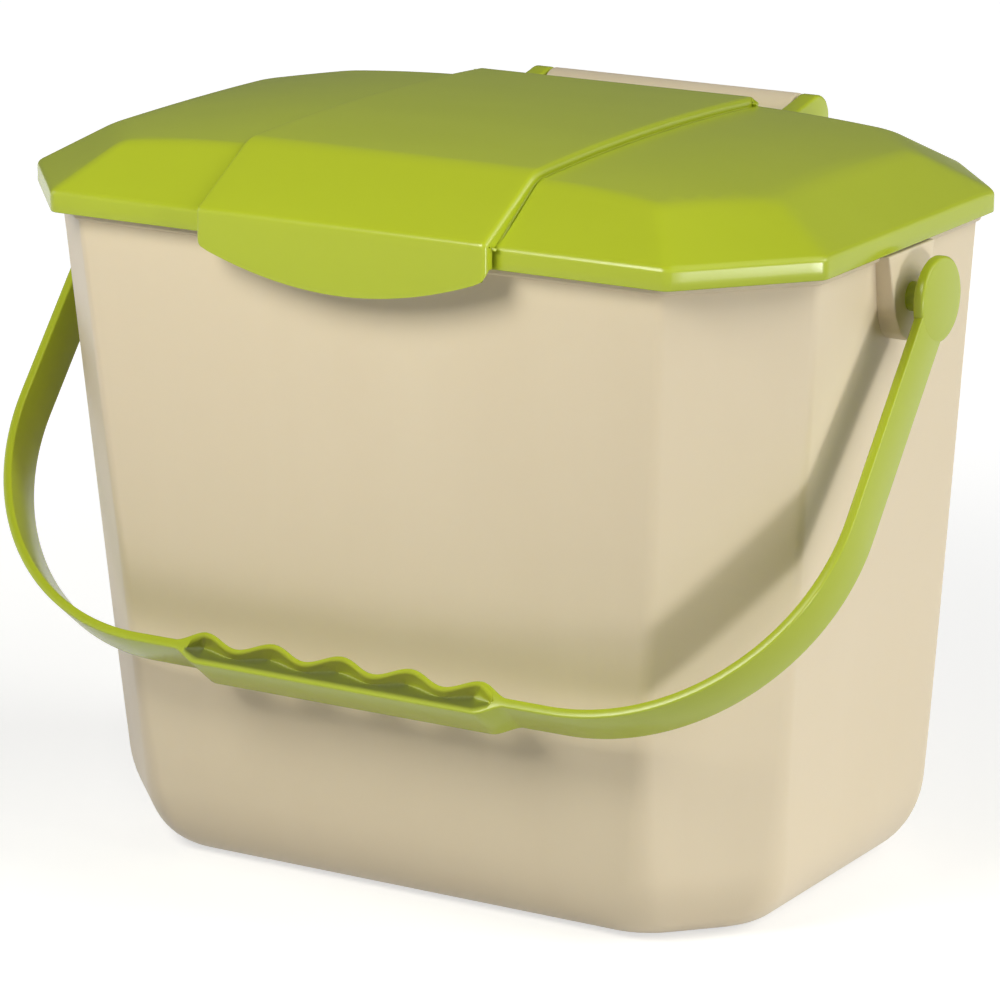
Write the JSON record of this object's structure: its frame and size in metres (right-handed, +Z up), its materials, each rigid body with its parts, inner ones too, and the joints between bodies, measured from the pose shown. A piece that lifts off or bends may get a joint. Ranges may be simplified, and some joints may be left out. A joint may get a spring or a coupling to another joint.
{
  "type": "kitchen compost pail",
  "caption": "Tapered eight-sided worktop pail with a hinged crowned lid, front lifting lip and a swinging carry handle with a finger grip.",
  "frame": {"origin": "on the surface the pail stands on, straight below the middle of the handle's pivot axis", "axes": "+X to the pail's left when facing its front, along the handle's and the lid's axes; +Y from the front lip to the hinge; +Z up"},
  "size_m": [0.3222, 0.2335, 0.2547],
  "materials": {
    "bucket_beige": "satin moulded polypropylene",
    "lid_green": "satin to gloss moulded polypropylene",
    "handle_green": "satin to gloss moulded polypropylene"
  },
  "bodies": {
    "tub": {"bucket": "bucket_beige"},
    "lid": {"lid": "lid_green"},
    "handle": {"handle": "handle_green"}
  },
  "joints": [
    {"name": "lid_hinge", "type": "hinge", "parent": "tub", "child": "lid", "pos_m": [0, 0.1128, 0.2382], "axis": [-1, 0, 0], "range_deg": [0, 110]},
    {"name": "handle_swing", "type": "hinge", "parent": "tub", "child": "handle", "pos_m": [0, 0, 0.2087], "axis": [-1, 0, 0], "range_deg": [0, 275]}
  ]
}
